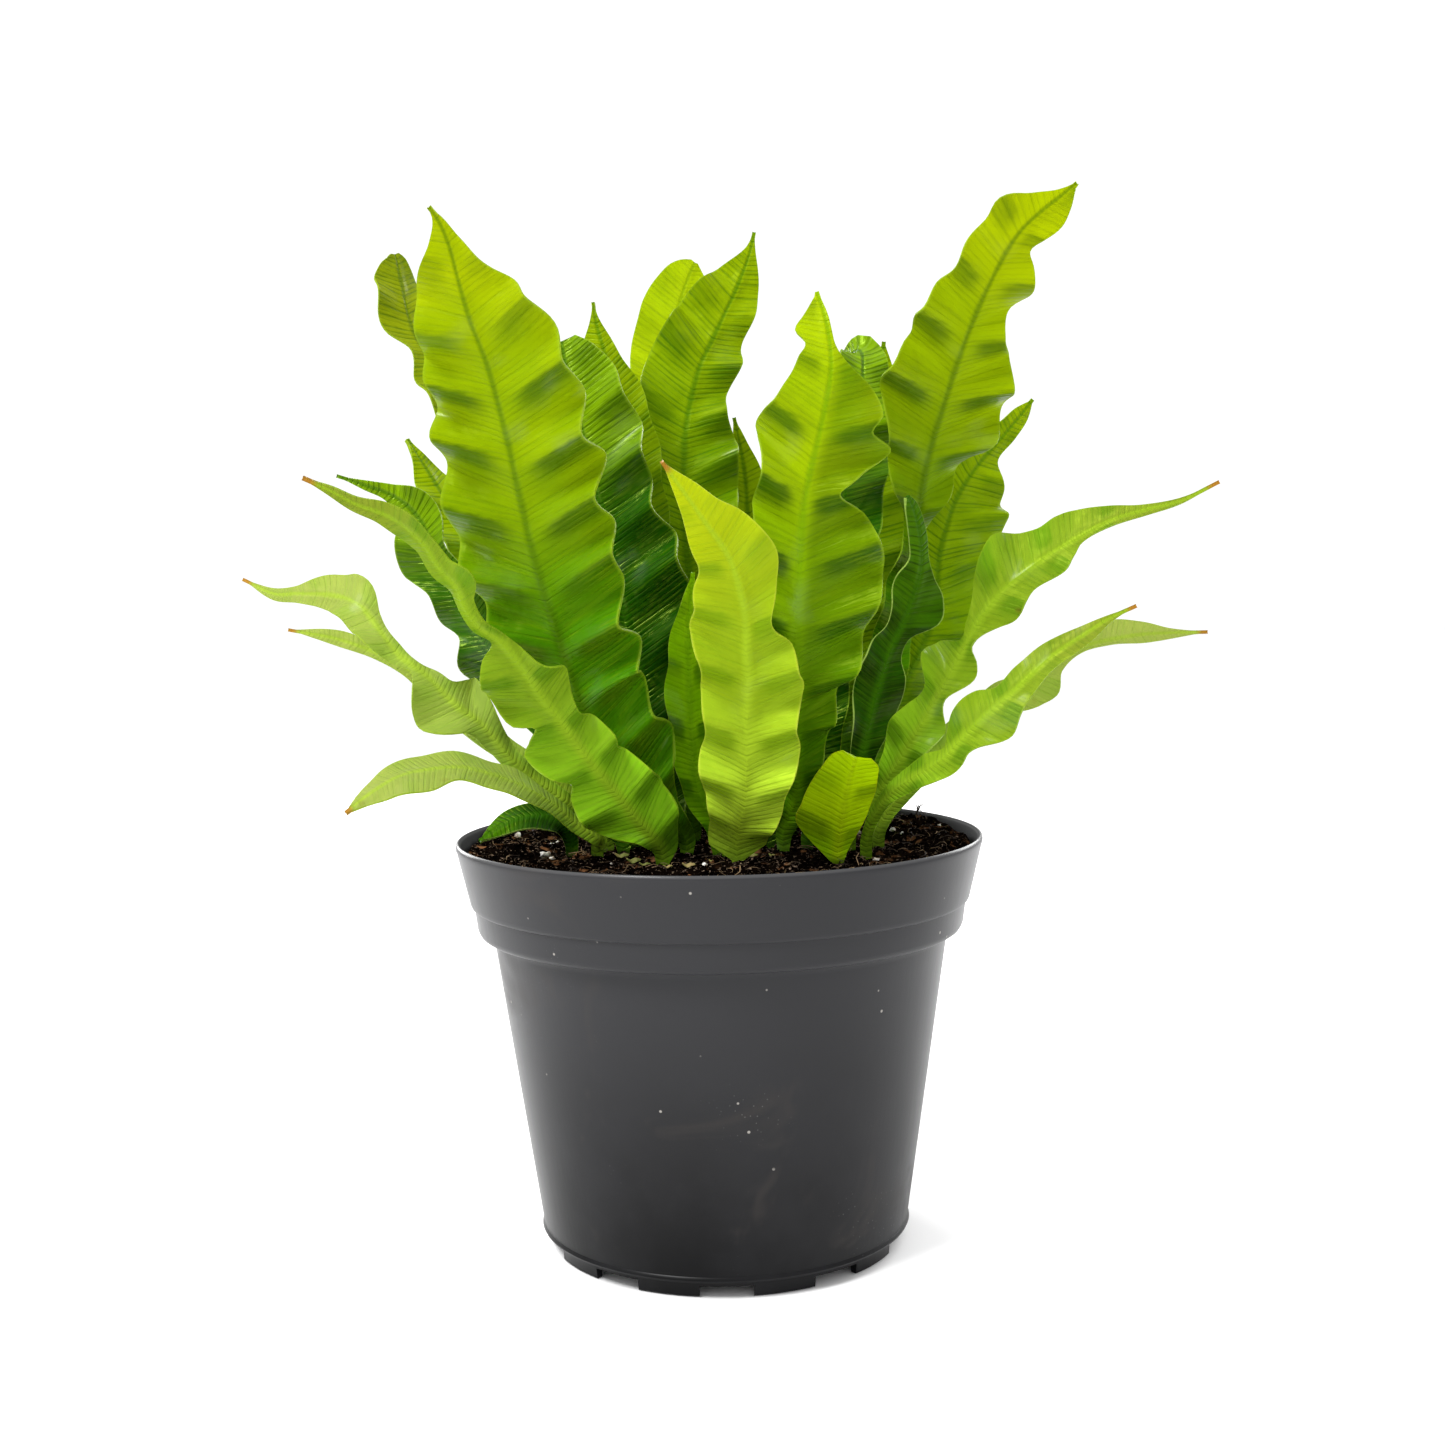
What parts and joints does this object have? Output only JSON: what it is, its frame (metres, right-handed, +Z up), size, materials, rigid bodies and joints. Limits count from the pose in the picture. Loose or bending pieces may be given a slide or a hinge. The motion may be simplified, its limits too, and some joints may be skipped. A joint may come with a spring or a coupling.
{
  "type": "potted crispy wave fern",
  "caption": "Crispy wave fern with long rippled strap fronds, upright in the middle and arching out at the sides, in a round dark plastic grower pot full of peat.",
  "frame": {"origin": "on the ground under the axis of the pot", "axes": "+Z up along the pot's axis, -Y towards the front of the plant, +X to the right seen from the front"},
  "size_m": [0.277, 0.1873, 0.2975],
  "materials": {
    "charcoal_plastic": "satin moulded plastic, charcoal grey",
    "peat_soil": "rough moist peat with fibres and perlite grains",
    "frond_bright": "soft gloss leaf, yellow-green, lets light through",
    "frond_green": "soft gloss leaf, fresh green, lets light through",
    "frond_dark": "glossy leaf, dark green"
  },
  "bodies": {
    "root": {"pot": "charcoal_plastic", "soil": "peat_soil", "frond_tall_left": "frond_bright", "frond_curved_low_left": "frond_green", "frond_yellow_new": "frond_bright", "frond_small_behind_yellow": "frond_bright", "frond_round_right": "frond_green", "frond_young_folded": "frond_bright", "frond_tall_right": "frond_bright", "frond_behind_tall_right": "frond_green", "frond_dark_cup_right": "frond_dark", "frond_arching_right": "frond_green", "frond_low_right": "frond_green", "frond_behind_low_right": "frond_green", "frond_striped_right": "frond_dark", "frond_curled_behind_round": "frond_green", "frond_slim_centre_back": "frond_dark", "frond_striped_centre": "frond_green", "frond_light_back": "frond_bright", "frond_narrow_centre": "frond_green", "frond_dark_behind_tall_left": "frond_dark", "frond_left_behind_tall": "frond_green", "frond_olive_back_left": "frond_green", "frond_lobed_left": "frond_dark", "frond_arching_left": "frond_green", "frond_thin_left": "frond_green", "frond_low_left": "frond_bright", "frond_small_olive_left": "frond_green", "frond_small_dark_left": "frond_dark", "frond_back_right_low": "frond_green", "frond_back_right": "frond_green", "frond_back_centre_right": "frond_green", "frond_back_centre": "frond_green", "frond_back_centre_left": "frond_green", "frond_back_left": "frond_green", "frond_back_left_low": "frond_green", "frond_back_inner_right": "frond_dark", "frond_back_inner_left": "frond_dark"}
  },
  "joints": []
}
